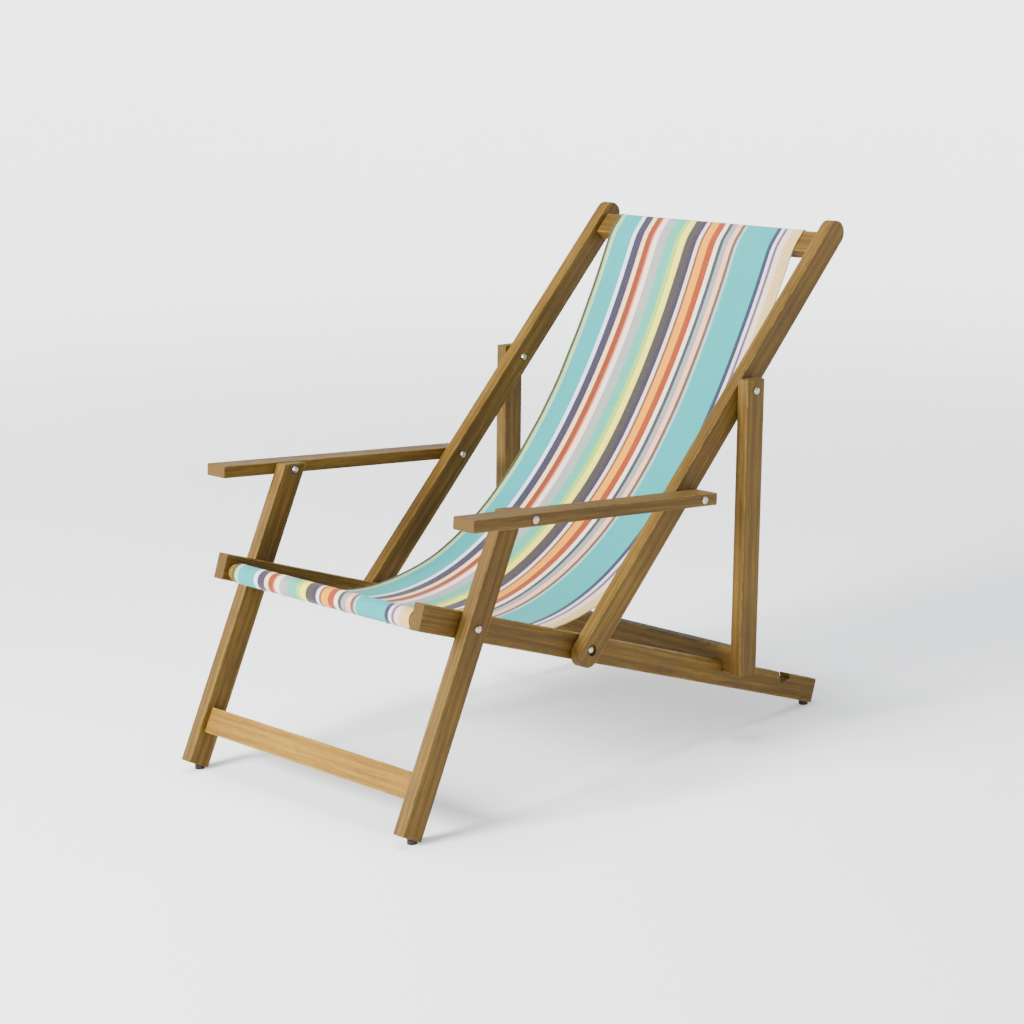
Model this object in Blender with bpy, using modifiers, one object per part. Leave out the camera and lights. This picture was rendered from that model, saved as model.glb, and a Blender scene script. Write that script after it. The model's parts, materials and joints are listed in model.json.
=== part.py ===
"""Folding wooden deck chair with armrests, a rear prop frame and a canvas sling.

Units are metres. +X is the sitter's left, -Y the front and +Z up; the floor is at z = 0.
The side timbers lie in three layers, counted outwards from the sling: the seat rails, then the
back rails with the front legs, then the armrests with the props. The chair stands open, with the
prop frame's crossbar in the front notches of the seat rails.
"""

import math

import bmesh
import bpy
from mathutils import Matrix, Vector

# ---- timber sections ----
TIMBER = 0.022
BATTEN = 0.042
ARM_WIDTH = 0.0455
ARM_THICK = 0.020
EASED_EDGE = 0.0018
GAP = 0.0003

# ---- side layers, as distances from the middle plane ----
LAYER_SPACE = 0.0016
SEAT_IN = 0.2245
SEAT_OUT = SEAT_IN + TIMBER
BACK_IN = SEAT_OUT + LAYER_SPACE
BACK_OUT = BACK_IN + TIMBER
ARM_IN = BACK_OUT + LAYER_SPACE
ARM_OUT = ARM_IN + ARM_WIDTH
PROP_OUT = ARM_IN + TIMBER

# ---- side view: hinge places and slopes (a slope is measured from +Y towards +Z) ----
RECLINE_HINGE = Vector((-0.1060, 0.2207))
SEAT_SLOPE = math.radians(-19.05)
BACK_SLOPE = math.radians(45.1)
PROP_SLOPE = math.radians(-92.4)
HINGE_TO_LEG = 0.2577
HINGE_TO_ARM = 0.2993
LEG_TO_ARM = 0.1790
ARM_SPAN = 0.3780
HINGE_TO_PROP = 0.5154

# ---- how far each member runs from its own pivots ----
SEAT_FRONT_END = 0.3541
SEAT_REAR_END = 0.6077
BACK_LOW_END = 0.0300
BACK_TOP_END = 0.8653
LEG_DROP = 0.3274
ARM_FRONT_END = 0.1264
ARM_REAR_END = 0.0310
PROP_TOP_END = 0.0190
PROP_LENGTH = 0.4760

# ---- crossbars ----
FRONT_BAR_RADIUS = 0.0135
FRONT_BAR_AHEAD = 0.3305
FRONT_BAR_LOW = 0.0055
FRONT_TENON_RADIUS = 0.0095
TOP_BAR_UP = 0.8155
LEG_BAR_DROP = 0.2525
TENON_LENGTH = 0.0120
TENON_SHOULDER = 0.0045
TENON_PLAY = 0.0003
MORTISE_DEPTH = TENON_LENGTH + 0.0006

# ---- notches that hold the prop frame's crossbar ----
NOTCH_PLAY = 0.0014
NOTCH_FLOOR_PLAY = 0.0004
SECOND_NOTCH = 0.5230

# ---- bolts, cap nuts and washers ----
BOLT_RADIUS = 0.0030
BOLT_HOLE = 0.0034
LOOSE_HOLE = 0.0074
HEAD_RADIUS = 0.0062
HEAD_HEIGHT = 0.0038
NUT_RADIUS = 0.0056
NUT_HEIGHT = 0.0052
NUT_RIM = 0.0014
NUT_BORE_DEPTH = 0.0034
BOLT_TIP = 0.0030
WASHER_RADIUS = 0.0088
WASHER_THICK = LAYER_SPACE - 2 * GAP
RECESS_RADIUS = 0.0095
RECESS_DEPTH = 0.0050
TURNED_SIDES = 16
DOME_STEPS = 3

# ---- glides under the four corners that stand on the floor ----
GLIDE_RADIUS = 0.0080
GLIDE_INSET = 0.0090

# ---- canvas sling ----
SLING_HALF_WIDTH = 0.2115
SLING_THICK = 0.0024
SLING_FREE_LENGTH = 1.1340
SLING_STEPS = 26
SLING_LEAVES_BAR = math.radians(55.4)
SLING_OVER_TOP_BAR = 0.0400

# ---- finishes: colour, roughness, metallic ----
OILED_WOOD = ((0.262, 0.152, 0.056), 0.55, 0.0)
PALE_WOOD = ((0.470, 0.310, 0.140), 0.55, 0.0)
STRIPED_CANVAS = ((0.340, 0.590, 0.580), 0.90, 0.0)
BRIGHT_STEEL = ((0.720, 0.710, 0.690), 0.25, 1.0)
DARK_NYLON = ((0.050, 0.030, 0.018), 0.60, 0.0)
BLACK_PLASTIC = ((0.022, 0.020, 0.018), 0.50, 0.0)


def clear_scene():
    for old in list(bpy.data.objects):
        bpy.data.objects.remove(old, do_unlink=True)


def new_collection(name):
    collection = bpy.data.collections.new(name)
    bpy.context.scene.collection.children.link(collection)
    return collection


clear_scene()
CHAIR = new_collection("deck_chair")
CUTTERS = new_collection("cutters")


# ---------------------------------------------------------------- side-view geometry

def along(start, slope, distance, rise=0.0):
    """The (y, z) point a distance along a slope from start, then a rise square to it."""
    ahead = Vector((math.cos(slope), math.sin(slope)))
    square = Vector((-math.sin(slope), math.cos(slope)))
    return start + distance * ahead + rise * square


def upper_meeting(first, first_reach, second, second_reach):
    """Where two links of the given lengths meet above the line between their other ends."""
    line = second - first
    span = line.length
    foot = (first_reach**2 - second_reach**2 + span**2) / (2 * span)
    height = math.sqrt(first_reach**2 - foot**2)
    ahead = line / span
    return first + foot * ahead + height * Vector((-ahead.y, ahead.x))


def slope_between(start, end):
    return math.atan2(end.y - start.y, end.x - start.x)


def placed(x, point, slope):
    """A matrix with local X along the slope, local Y square to it and local Z along world X."""
    turn = Matrix(
        (
            (0.0, 0.0, 1.0),
            (math.cos(slope), -math.sin(slope), 0.0),
            (math.sin(slope), math.cos(slope), 0.0),
        )
    )
    return Matrix.Translation((x, point.x, point.y)) @ turn.to_4x4()


LEG_HINGE = along(RECLINE_HINGE, SEAT_SLOPE, -HINGE_TO_LEG)
ARM_REAR_HINGE = along(RECLINE_HINGE, BACK_SLOPE, HINGE_TO_ARM)
ARM_FRONT_HINGE = upper_meeting(LEG_HINGE, LEG_TO_ARM, ARM_REAR_HINGE, ARM_SPAN)
PROP_HINGE = along(RECLINE_HINGE, BACK_SLOPE, HINGE_TO_PROP)
LEG_SLOPE = slope_between(LEG_HINGE, ARM_FRONT_HINGE)
ARM_SLOPE = slope_between(ARM_FRONT_HINGE, ARM_REAR_HINGE)
PROP_FOOT = along(PROP_HINGE, PROP_SLOPE, PROP_LENGTH)


# ---------------------------------------------------------------- modelling helpers

def principled(name, finish):
    colour, roughness, metallic = finish
    material = bpy.data.materials.new(name)
    material.use_nodes = True
    shader = material.node_tree.nodes["Principled BSDF"]
    shader.inputs["Base Color"].default_value = (*colour, 1.0)
    shader.inputs["Roughness"].default_value = roughness
    shader.inputs["Metallic"].default_value = metallic
    material.diffuse_color = (*colour, 1.0)
    return material


def add_object(name, mesh, matrix, collection=CHAIR):
    made = bpy.data.objects.new(name, mesh)
    collection.objects.link(made)
    made.matrix_world = matrix
    return made


def hang_on(made, hinge):
    """Parent an object to a hinge empty without moving it."""
    made.parent = hinge
    made.matrix_parent_inverse = hinge.matrix_world.inverted()


def hinge_empty(name, point):
    empty = bpy.data.objects.new(name, None)
    empty.location = (0.0, point.x, point.y)
    CHAIR.objects.link(empty)
    bpy.context.view_layer.update()
    return empty


def finish_part(made, finish, hinge):
    made.data.materials.clear()
    made.data.materials.append(principled(made.name + "_finish", finish))
    hang_on(made, hinge)
    return made


def box_mesh(name, low, high):
    """A box between two corners, as a mesh in its own local frame."""
    low = Vector(low)
    high = Vector(high)
    size = high - low
    shape = bmesh.new()
    bmesh.ops.create_cube(shape, size=1.0)
    bmesh.ops.scale(shape, vec=size, verts=shape.verts)
    bmesh.ops.translate(shape, vec=(low + high) / 2, verts=shape.verts)
    mesh = bpy.data.meshes.new(name)
    shape.to_mesh(mesh)
    shape.free()
    return mesh


def rod_mesh(name, radius, low, high, sides=2 * TURNED_SIDES):
    """A round rod along local Z, from low to high."""
    shape = bmesh.new()
    bmesh.ops.create_cone(
        shape, cap_ends=True, segments=sides, radius1=radius, radius2=radius, depth=high - low
    )
    bmesh.ops.translate(shape, vec=(0.0, 0.0, (low + high) / 2), verts=shape.verts)
    mesh = bpy.data.meshes.new(name)
    shape.to_mesh(mesh)
    shape.free()
    return mesh


def outline_mesh(name, outline, thickness):
    """A flat outline in local XY, extruded by half its thickness each way along local Z."""
    curve = bpy.data.curves.new(name + "_outline", "CURVE")
    curve.dimensions = "2D"
    curve.fill_mode = "BOTH"
    curve.extrude = thickness / 2
    spline = curve.splines.new("POLY")
    spline.points.add(len(outline) - 1)
    for corner, (x, y) in zip(spline.points, outline):
        corner.co = (x, y, 0.0, 1.0)
    spline.use_cyclic_u = True
    guide = bpy.data.objects.new(name + "_outline", curve)
    CUTTERS.objects.link(guide)
    bpy.context.view_layer.update()
    ready = guide.evaluated_get(bpy.context.evaluated_depsgraph_get())
    mesh = bpy.data.meshes.new_from_object(ready)
    bpy.data.objects.remove(guide, do_unlink=True)
    shape = bmesh.new()
    shape.from_mesh(mesh)
    bmesh.ops.remove_doubles(shape, verts=shape.verts, dist=0.00001)
    bmesh.ops.dissolve_limit(shape, angle_limit=0.001, verts=shape.verts, edges=shape.edges)
    bmesh.ops.recalc_face_normals(shape, faces=shape.faces)
    shape.to_mesh(mesh)
    shape.free()
    return mesh


def ease_edges(made):
    bevel = made.modifiers.new("eased_edges", "BEVEL")
    bevel.width = EASED_EDGE
    bevel.segments = 2
    bevel.limit_method = "ANGLE"
    bevel.angle_limit = math.radians(50)


def combine(made, name, mesh, matrix, operation):
    """Cut a hidden shape out of a part, or join it on."""
    tool = add_object(name, mesh, matrix, CUTTERS)
    tool.hide_render = True
    tool.display_type = "WIRE"
    boolean = made.modifiers.new(name, "BOOLEAN")
    boolean.operation = operation
    boolean.solver = "EXACT"
    boolean.object = tool


def drill(made, x_low, x_high, point, radius):
    """A round hole along X through a part, between two distances from the middle plane."""
    name = made.name + "_hole_" + str(len(made.modifiers))
    hole = rod_mesh(name, radius, x_low, x_high)
    combine(made, name, hole, placed(0.0, point, 0.0), "DIFFERENCE")


def cut_box(made, matrix, low, high):
    name = made.name + "_cut_" + str(len(made.modifiers))
    combine(made, name, box_mesh(name, low, high), matrix, "DIFFERENCE")


def side_span(side, near, far):
    """The X limits of a stretch between two distances from the middle, on one side."""
    return tuple(sorted((side * near, side * far)))


# ---------------------------------------------------------------- long side members

def rounded_end(x, radius, facing):
    """Points round a semicircular end centred on the member's own line."""
    turns = 12
    start = -math.pi / 2 if facing > 0 else math.pi / 2
    angles = [start + math.pi * step / turns for step in range(turns + 1)]
    return [(x + radius * math.cos(a), radius * math.sin(a)) for a in angles]


def side_member(name, side, inner, point, slope, outline, hinge, finish=OILED_WOOD):
    middle = side * (inner + TIMBER / 2)
    mesh = outline_mesh(name, outline, TIMBER)
    made = add_object(name, mesh, placed(middle, point, slope))
    ease_edges(made)
    return finish_part(made, finish, hinge)


def square_outline(start, end, width):
    half = width / 2
    return [(start, -half), (end, -half), (end, half), (start, half)]


def mortise(made, side, inner, point, slope, half_along, half_across):
    """A blind pocket in a member's inner face for the tenon of a crossbar."""
    x_low, x_high = side_span(side, inner - TENON_LENGTH, inner + MORTISE_DEPTH)
    low = (-half_along - TENON_PLAY, -half_across - TENON_PLAY, x_low)
    high = (half_along + TENON_PLAY, half_across + TENON_PLAY, x_high)
    cut_box(made, placed(0.0, point, slope), low, high)


def notch(made, side, foot, slope):
    """A slot across a rail's top edge that the prop frame's crossbar drops into."""
    x_low, x_high = side_span(side, SEAT_IN - TIMBER, SEAT_OUT + TIMBER)
    half = TIMBER / 2 + NOTCH_PLAY
    low = (-BATTEN, -half, x_low)
    high = (NOTCH_FLOOR_PLAY, half, x_high)
    cut_box(made, placed(0.0, foot, slope), low, high)


def second_notch_place():
    """The crossbar's foot and the props' slope when the chair is set to its lower recline."""
    depth = (PROP_FOOT - RECLINE_HINGE).dot(Vector((-math.sin(SEAT_SLOPE), math.cos(SEAT_SLOPE))))
    foot = along(RECLINE_HINGE, SEAT_SLOPE, SECOND_NOTCH, depth)
    prop_hinge = upper_meeting(RECLINE_HINGE, HINGE_TO_PROP, foot, PROP_LENGTH)
    return foot, slope_between(prop_hinge, foot)


def seat_rail(side, word, hinge):
    outline = square_outline(-SEAT_FRONT_END, SEAT_REAR_END, BATTEN)
    rail = side_member("seat_rail_" + word, side, SEAT_IN, RECLINE_HINGE, SEAT_SLOPE, outline, hinge)
    through = side_span(side, SEAT_IN - TIMBER, SEAT_OUT + TIMBER)
    drill(rail, *through, LEG_HINGE, BOLT_HOLE)
    drill(rail, *through, RECLINE_HINGE, BOLT_HOLE)
    socket = side_span(side, SEAT_IN - TENON_LENGTH, SEAT_IN + MORTISE_DEPTH)
    drill(rail, *socket, FRONT_BAR_LINE, FRONT_TENON_RADIUS + TENON_PLAY)
    notch(rail, side, PROP_FOOT, PROP_SLOPE)
    notch(rail, side, *second_notch_place())
    return rail


def back_rail(side, word, hinge):
    half = BATTEN / 2
    top_end = rounded_end(BACK_TOP_END - half, half, 1)
    low_end = rounded_end(half - BACK_LOW_END, half, -1)
    outline = top_end + low_end
    rail = side_member("back_rail_" + word, side, BACK_IN, RECLINE_HINGE, BACK_SLOPE, outline, hinge)
    through = side_span(side, BACK_IN - TIMBER, BACK_OUT + TIMBER)
    for point in (RECLINE_HINGE, ARM_REAR_HINGE, PROP_HINGE):
        drill(rail, *through, point, BOLT_HOLE)
    recess = side_span(side, BACK_OUT - RECESS_DEPTH, BACK_OUT + TIMBER)
    drill(rail, *recess, RECLINE_HINGE, RECESS_RADIUS)
    half_along = BATTEN / 2 - TENON_SHOULDER
    half_across = TIMBER / 2 - TENON_SHOULDER
    mortise(rail, side, BACK_IN, TOP_BAR_LINE, BACK_SLOPE, half_along, half_across)
    return rail


def front_leg(side, word, hinge):
    half = BATTEN / 2
    lean = LEG_SLOPE - ARM_SLOPE
    top_height = ARM_THICK / 2 - 0.001

    def top_reach(across):
        return LEG_TO_ARM + (top_height - across * math.cos(lean)) / math.sin(lean)

    outline = [(-LEG_DROP, -half), (top_reach(-half), -half), (top_reach(half), half), (-LEG_DROP, half)]
    leg = side_member("front_leg_" + word, side, BACK_IN, LEG_HINGE, LEG_SLOPE, outline, hinge)
    through = side_span(side, BACK_IN - TIMBER, BACK_OUT + TIMBER)
    drill(leg, *through, LEG_HINGE, BOLT_HOLE)
    drill(leg, *through, ARM_FRONT_HINGE, LOOSE_HOLE)
    half_along = BATTEN / 2 - TENON_SHOULDER
    half_across = TIMBER / 2 - TENON_SHOULDER
    mortise(leg, side, BACK_IN, LEG_BAR_LINE, LEG_SLOPE, half_along, half_across)
    return leg


def armrest(side, word, hinge):
    name = "armrest_" + word
    x_low, x_high = side_span(side, ARM_IN, ARM_OUT)
    low = (-ARM_FRONT_END, -ARM_THICK / 2, x_low)
    high = (ARM_SPAN + ARM_REAR_END, ARM_THICK / 2, x_high)
    arm = add_object(name, box_mesh(name, low, high), placed(0.0, ARM_FRONT_HINGE, ARM_SLOPE))
    ease_edges(arm)
    finish_part(arm, OILED_WOOD, hinge)
    through = side_span(side, ARM_IN - TIMBER, ARM_OUT + TIMBER)
    drill(arm, *through, ARM_FRONT_HINGE, BOLT_HOLE)
    drill(arm, *through, ARM_REAR_HINGE, BOLT_HOLE)
    return arm


def prop(side, word, hinge):
    outline = square_outline(-PROP_TOP_END, PROP_LENGTH, BATTEN)
    made = side_member("prop_" + word, side, ARM_IN, PROP_HINGE, PROP_SLOPE, outline, hinge)
    drill(made, *side_span(side, ARM_IN - TIMBER, PROP_OUT + TIMBER), PROP_HINGE, BOLT_HOLE)
    half_along = BATTEN / 2 - TENON_SHOULDER
    half_across = TIMBER / 2 - TENON_SHOULDER
    mortise(made, side, ARM_IN, PROP_BAR_LINE, PROP_SLOPE, half_along, half_across)
    return made


# ---------------------------------------------------------------- crossbars

FRONT_BAR_LINE = along(RECLINE_HINGE, SEAT_SLOPE, -FRONT_BAR_AHEAD, -FRONT_BAR_LOW)
TOP_BAR_LINE = along(RECLINE_HINGE, BACK_SLOPE, TOP_BAR_UP)
LEG_BAR_LINE = along(LEG_HINGE, LEG_SLOPE, -LEG_BAR_DROP)
PROP_BAR_LINE = along(PROP_HINGE, PROP_SLOPE, PROP_LENGTH - BATTEN / 2)


def flat_crossbar(name, line, slope, inner, hinge, finish=OILED_WOOD):
    """A batten between two side members, with a shouldered tenon at each end."""
    reach = inner - GAP
    matrix = placed(0.0, line, slope)
    half_along = BATTEN / 2
    half_across = TIMBER / 2
    body = box_mesh(name, (-half_along, -half_across, -reach), (half_along, half_across, reach))
    bar = add_object(name, body, matrix)
    ease_edges(bar)
    finish_part(bar, finish, hinge)
    tenon_high = (half_along - TENON_SHOULDER, half_across - TENON_SHOULDER, inner + TENON_LENGTH)
    tenon_low = tuple(-value for value in tenon_high)
    tenon = box_mesh(name + "_tenon", tenon_low, tenon_high)
    combine(bar, name + "_tenon", tenon, matrix, "UNION")
    return bar


def round_front_bar(hinge):
    reach = SEAT_IN - GAP
    matrix = placed(0.0, FRONT_BAR_LINE, 0.0)
    bar = add_object("front_bar", rod_mesh("front_bar", FRONT_BAR_RADIUS, -reach, reach), matrix)
    finish_part(bar, PALE_WOOD, hinge)
    end = SEAT_IN + TENON_LENGTH
    tenon = rod_mesh("front_bar_tenon", FRONT_TENON_RADIUS, -end, end)
    combine(bar, "front_bar_tenon", tenon, matrix, "UNION")
    return bar


# ---------------------------------------------------------------- bolts, nuts, washers

def turned(name, profile, x, side, point, finish, hinge):
    """A profile turned about X; profile heights count outwards from x on the given side."""
    mesh = bpy.data.meshes.new(name)
    corners = [(radius, 0.0, height) for radius, height in profile]
    closed = profile[0][0] > 0
    edges = [(i, i + 1) for i in range(len(corners) - 1)]
    if closed:
        edges.append((len(corners) - 1, 0))
    mesh.from_pydata(corners, edges, [])
    axis = Matrix(((0.0, 0.0, side), (1.0, 0.0, 0.0), (0.0, side, 0.0)))
    matrix = Matrix.Translation((side * x, point.x, point.y)) @ axis.to_4x4()
    made = add_object(name, mesh, matrix)
    screw = made.modifiers.new("turned", "SCREW")
    screw.axis = "Z"
    screw.angle = math.tau
    screw.steps = TURNED_SIDES
    screw.render_steps = TURNED_SIDES
    screw.use_merge_vertices = True
    screw.merge_threshold = 0.00001
    screw.use_smooth_shade = True
    return finish_part(made, finish, hinge)


def dome(radius, base, height):
    """A quarter-ellipse from the crown down to the rim, without its last point."""
    angles = [math.pi / 2 * step / DOME_STEPS for step in range(DOME_STEPS)]
    return [(radius * math.sin(a), base + height * math.cos(a)) for a in angles]


def bolt(name, side, point, outer, inner, hinge):
    """A dome-head bolt with its head on the outer face and its tip past the inner face."""
    rim = HEAD_HEIGHT * 0.2
    shank_end = inner - outer - GAP - BOLT_TIP
    profile = dome(HEAD_RADIUS, rim, HEAD_HEIGHT - rim)
    profile += [(HEAD_RADIUS, rim), (HEAD_RADIUS, 0.0), (BOLT_RADIUS, 0.0)]
    profile += [(BOLT_RADIUS, shank_end), (0.0, shank_end)]
    turned(name, profile, outer + GAP, side, point, BRIGHT_STEEL, hinge)


def cap_nut(name, side, point, inner, hinge):
    """A dome nut against an inner face, with a blind bore for the bolt's tip."""
    bore = BOLT_HOLE
    profile = [(0.0, -NUT_BORE_DEPTH), (bore, -NUT_BORE_DEPTH), (bore, 0.0), (NUT_RADIUS, 0.0)]
    crown = dome(NUT_RADIUS, NUT_RIM, NUT_HEIGHT - NUT_RIM)
    profile += [(NUT_RADIUS, -NUT_RIM)]
    profile += [(radius, -height) for radius, height in reversed(crown)]
    turned(name, profile, inner - GAP, side, point, BRIGHT_STEEL, hinge)


def washer(name, side, point, low, hinge):
    """A flat ring whose inner face stands at the distance low from the middle."""
    ring = [
        (BOLT_HOLE, WASHER_THICK),
        (WASHER_RADIUS, WASHER_THICK),
        (WASHER_RADIUS, 0.0),
        (BOLT_HOLE, 0.0),
    ]
    turned(name, ring, low, side, point, DARK_NYLON, hinge)


def pivot(name, side, word, point, outer, layer, inner, hinge):
    """A bolt through two timbers, with a washer between them and a cap nut inside."""
    bolt(name + "_bolt_" + word, side, point, outer, inner, hinge)
    washer(name + "_washer_" + word, side, point, layer + GAP, hinge)
    cap_nut(name + "_nut_" + word, side, point, inner, hinge)


# ---------------------------------------------------------------- glides

def glide(name, side, middle, centre_y, wood_corner, wood_slope, hinge):
    """A round pad on the floor, its top cut to follow the timber just above it."""
    top = 0.030
    mesh = rod_mesh(name, GLIDE_RADIUS, 0.0, top)
    shape = bmesh.new()
    shape.from_mesh(mesh)
    bmesh.ops.translate(shape, vec=(side * middle, centre_y, 0.0), verts=shape.verts)
    normal = Vector((0.0, -math.sin(wood_slope), math.cos(wood_slope)))
    if normal.z < 0:
        normal.negate()
    corner = Vector((0.0, wood_corner.x, wood_corner.y)) - GAP * normal
    everything = shape.verts[:] + shape.edges[:] + shape.faces[:]
    cut = bmesh.ops.bisect_plane(
        shape, geom=everything, dist=0.00001, plane_co=corner, plane_no=normal, clear_outer=True
    )
    rim = [item for item in cut["geom_cut"] if isinstance(item, bmesh.types.BMEdge)]
    bmesh.ops.contextual_create(shape, geom=rim)
    bmesh.ops.recalc_face_normals(shape, faces=shape.faces)
    shape.to_mesh(mesh)
    shape.free()
    finish_part(add_object(name, mesh, Matrix.Identity(4)), BLACK_PLASTIC, hinge)


def rear_glide(side, word, hinge):
    corner = along(RECLINE_HINGE, SEAT_SLOPE, SEAT_REAR_END, -BATTEN / 2)
    middle = SEAT_IN + TIMBER / 2
    name = "rear_glide_" + word
    glide(name, side, middle, corner.x - GLIDE_INSET, corner, SEAT_SLOPE, hinge)


def front_glide(side, word, hinge):
    corner = along(LEG_HINGE, LEG_SLOPE, -LEG_DROP, -BATTEN / 2)
    middle = BACK_IN + TIMBER / 2
    name = "front_glide_" + word
    glide(name, side, middle, corner.x - GLIDE_INSET, corner, LEG_SLOPE - math.pi / 2, hinge)


# ---------------------------------------------------------------- canvas sling

def hanging_curve(start, end, length, steps):
    """Evenly spaced points on the catenary of the given length between two (y, z) points."""
    span = end.x - start.x
    rise = end.y - start.y
    target = math.sqrt(length**2 - rise**2)
    low = 0.05
    high = 5.0
    for _ in range(80):
        scale = (low + high) / 2
        if 2 * scale * math.sinh(span / (2 * scale)) > target:
            low = scale
        else:
            high = scale
    middle = math.atanh(rise / length) * scale
    low_y = (start.x + end.x) / 2 - middle
    start_arc = scale * math.sinh((start.x - low_y) / scale)
    low_z = start.y - scale * math.cosh((start.x - low_y) / scale)
    points = []
    for step in range(steps + 1):
        arc = start_arc + length * step / steps
        y = low_y + scale * math.asinh(arc / scale)
        points.append(Vector((y, low_z + scale * math.cosh((y - low_y) / scale))))
    return points


def sling_line():
    """The sling's middle line, from the front bar's crown to the upper edge of the top bar."""
    clear = GAP + SLING_THICK / 2
    leave = FRONT_BAR_RADIUS + clear
    front = along(FRONT_BAR_LINE, SLING_LEAVES_BAR, leave)
    lower = along(TOP_BAR_LINE, BACK_SLOPE, -BATTEN / 2 - clear, TIMBER / 2 + clear)
    upper = along(TOP_BAR_LINE, BACK_SLOPE, SLING_OVER_TOP_BAR - BATTEN / 2, TIMBER / 2 + clear)
    return hanging_curve(front, lower, SLING_FREE_LENGTH, SLING_STEPS) + [upper]


def sheet_outline(line):
    """The two faces of a sheet of SLING_THICK about a middle line, as one closed outline."""
    faces = []
    for index, point in enumerate(line):
        before = line[max(index - 1, 0)]
        after = line[min(index + 1, len(line) - 1)]
        heading = (after - before).normalized()
        faces.append((point, Vector((-heading.y, heading.x)) * SLING_THICK / 2))
    under = [point - offset for point, offset in faces]
    over = [point + offset for point, offset in reversed(faces)]
    return [(point.x, point.y) for point in under + over]


def sling_part(name, line, hinge):
    mesh = outline_mesh(name, sheet_outline(line), 2 * SLING_HALF_WIDTH)
    made = add_object(name, mesh, placed(0.0, Vector((0.0, 0.0)), 0.0))
    finish_part(made, STRIPED_CANVAS, hinge)


def sling(seat_hinge, back_hinge):
    """The canvas, in two lengths that part over the recline hinge."""
    line = sling_line()
    after = next(i for i, point in enumerate(line) if point.x > RECLINE_HINGE.x)
    before_point = line[after - 1]
    after_point = line[after]
    heading = (after_point - before_point).normalized()
    seam = before_point + heading * (RECLINE_HINGE.x - before_point.x) / heading.x
    sling_part("sling_seat", line[:after] + [seam - heading * GAP], seat_hinge)
    sling_part("sling_back", [seam + heading * GAP] + line[after:], back_hinge)


# ---------------------------------------------------------------- the chair

SIDES = ((1, "left"), (-1, "right"))


def build_chair():
    seat = hinge_empty("seat_frame_axis", RECLINE_HINGE)
    back = hinge_empty("back_frame_axis", RECLINE_HINGE)
    legs = hinge_empty("leg_frame_axis", LEG_HINGE)
    props = hinge_empty("prop_frame_axis", PROP_HINGE)
    round_front_bar(seat)
    flat_crossbar("top_bar", TOP_BAR_LINE, BACK_SLOPE, BACK_IN, back)
    flat_crossbar("leg_crossbar", LEG_BAR_LINE, LEG_SLOPE, BACK_IN, legs, PALE_WOOD)
    flat_crossbar("prop_bar", PROP_BAR_LINE, PROP_SLOPE, ARM_IN, props)
    sling(seat, back)
    for side, word in SIDES:
        arm = hinge_empty("armrest_axis_" + word, ARM_REAR_HINGE)
        seat_rail(side, word, seat)
        back_rail(side, word, back)
        front_leg(side, word, legs)
        armrest(side, word, arm)
        prop(side, word, props)
        rear_glide(side, word, seat)
        front_glide(side, word, legs)
        pivot("leg_pivot", side, word, LEG_HINGE, BACK_OUT, SEAT_OUT, SEAT_IN, seat)
        recessed = BACK_OUT - RECESS_DEPTH
        pivot("recline_pivot", side, word, RECLINE_HINGE, recessed, SEAT_OUT, SEAT_IN, seat)
        pivot("arm_rear_pivot", side, word, ARM_REAR_HINGE, ARM_OUT, BACK_OUT, BACK_IN, back)
        pivot("prop_pivot", side, word, PROP_HINGE, PROP_OUT, BACK_OUT, BACK_IN, back)
        cover = BACK_IN - GAP - WASHER_THICK
        pivot("arm_front_pivot", side, word, ARM_FRONT_HINGE, ARM_OUT, BACK_OUT, cover, arm)
        washer("arm_front_pivot_cover_" + word, side, ARM_FRONT_HINGE, cover, arm)


build_chair()
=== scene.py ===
"""Looks for the folding deck chair: oiled hardwood, striped canvas, bright bolts and a studio.

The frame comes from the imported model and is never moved. This script gives each timber its own
grain, hangs one continuous sheet of striped canvas in place of the two stiff sling solids, and
adds its hems, stitching and tacks, the floor, the lights and the camera. Units are metres.
"""

import json
import math

import bmesh
import bpy
from mathutils import Matrix, Vector, noise


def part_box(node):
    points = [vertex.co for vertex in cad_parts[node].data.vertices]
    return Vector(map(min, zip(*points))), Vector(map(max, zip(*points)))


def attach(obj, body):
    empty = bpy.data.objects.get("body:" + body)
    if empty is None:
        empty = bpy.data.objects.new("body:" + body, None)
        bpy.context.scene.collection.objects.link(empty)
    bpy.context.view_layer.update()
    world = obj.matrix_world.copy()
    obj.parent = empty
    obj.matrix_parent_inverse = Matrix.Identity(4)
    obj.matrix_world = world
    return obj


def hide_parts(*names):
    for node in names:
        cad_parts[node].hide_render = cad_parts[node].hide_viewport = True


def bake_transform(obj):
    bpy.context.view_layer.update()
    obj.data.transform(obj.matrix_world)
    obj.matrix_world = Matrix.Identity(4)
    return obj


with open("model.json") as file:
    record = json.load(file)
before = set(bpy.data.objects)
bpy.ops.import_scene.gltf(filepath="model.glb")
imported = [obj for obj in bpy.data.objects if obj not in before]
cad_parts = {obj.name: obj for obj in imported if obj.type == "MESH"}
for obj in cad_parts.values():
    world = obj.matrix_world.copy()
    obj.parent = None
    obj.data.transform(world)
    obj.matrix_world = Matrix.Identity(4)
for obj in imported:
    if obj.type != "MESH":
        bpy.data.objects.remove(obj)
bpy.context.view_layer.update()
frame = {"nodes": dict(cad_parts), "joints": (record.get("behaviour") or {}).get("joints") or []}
NODES = frame["nodes"]

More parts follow.
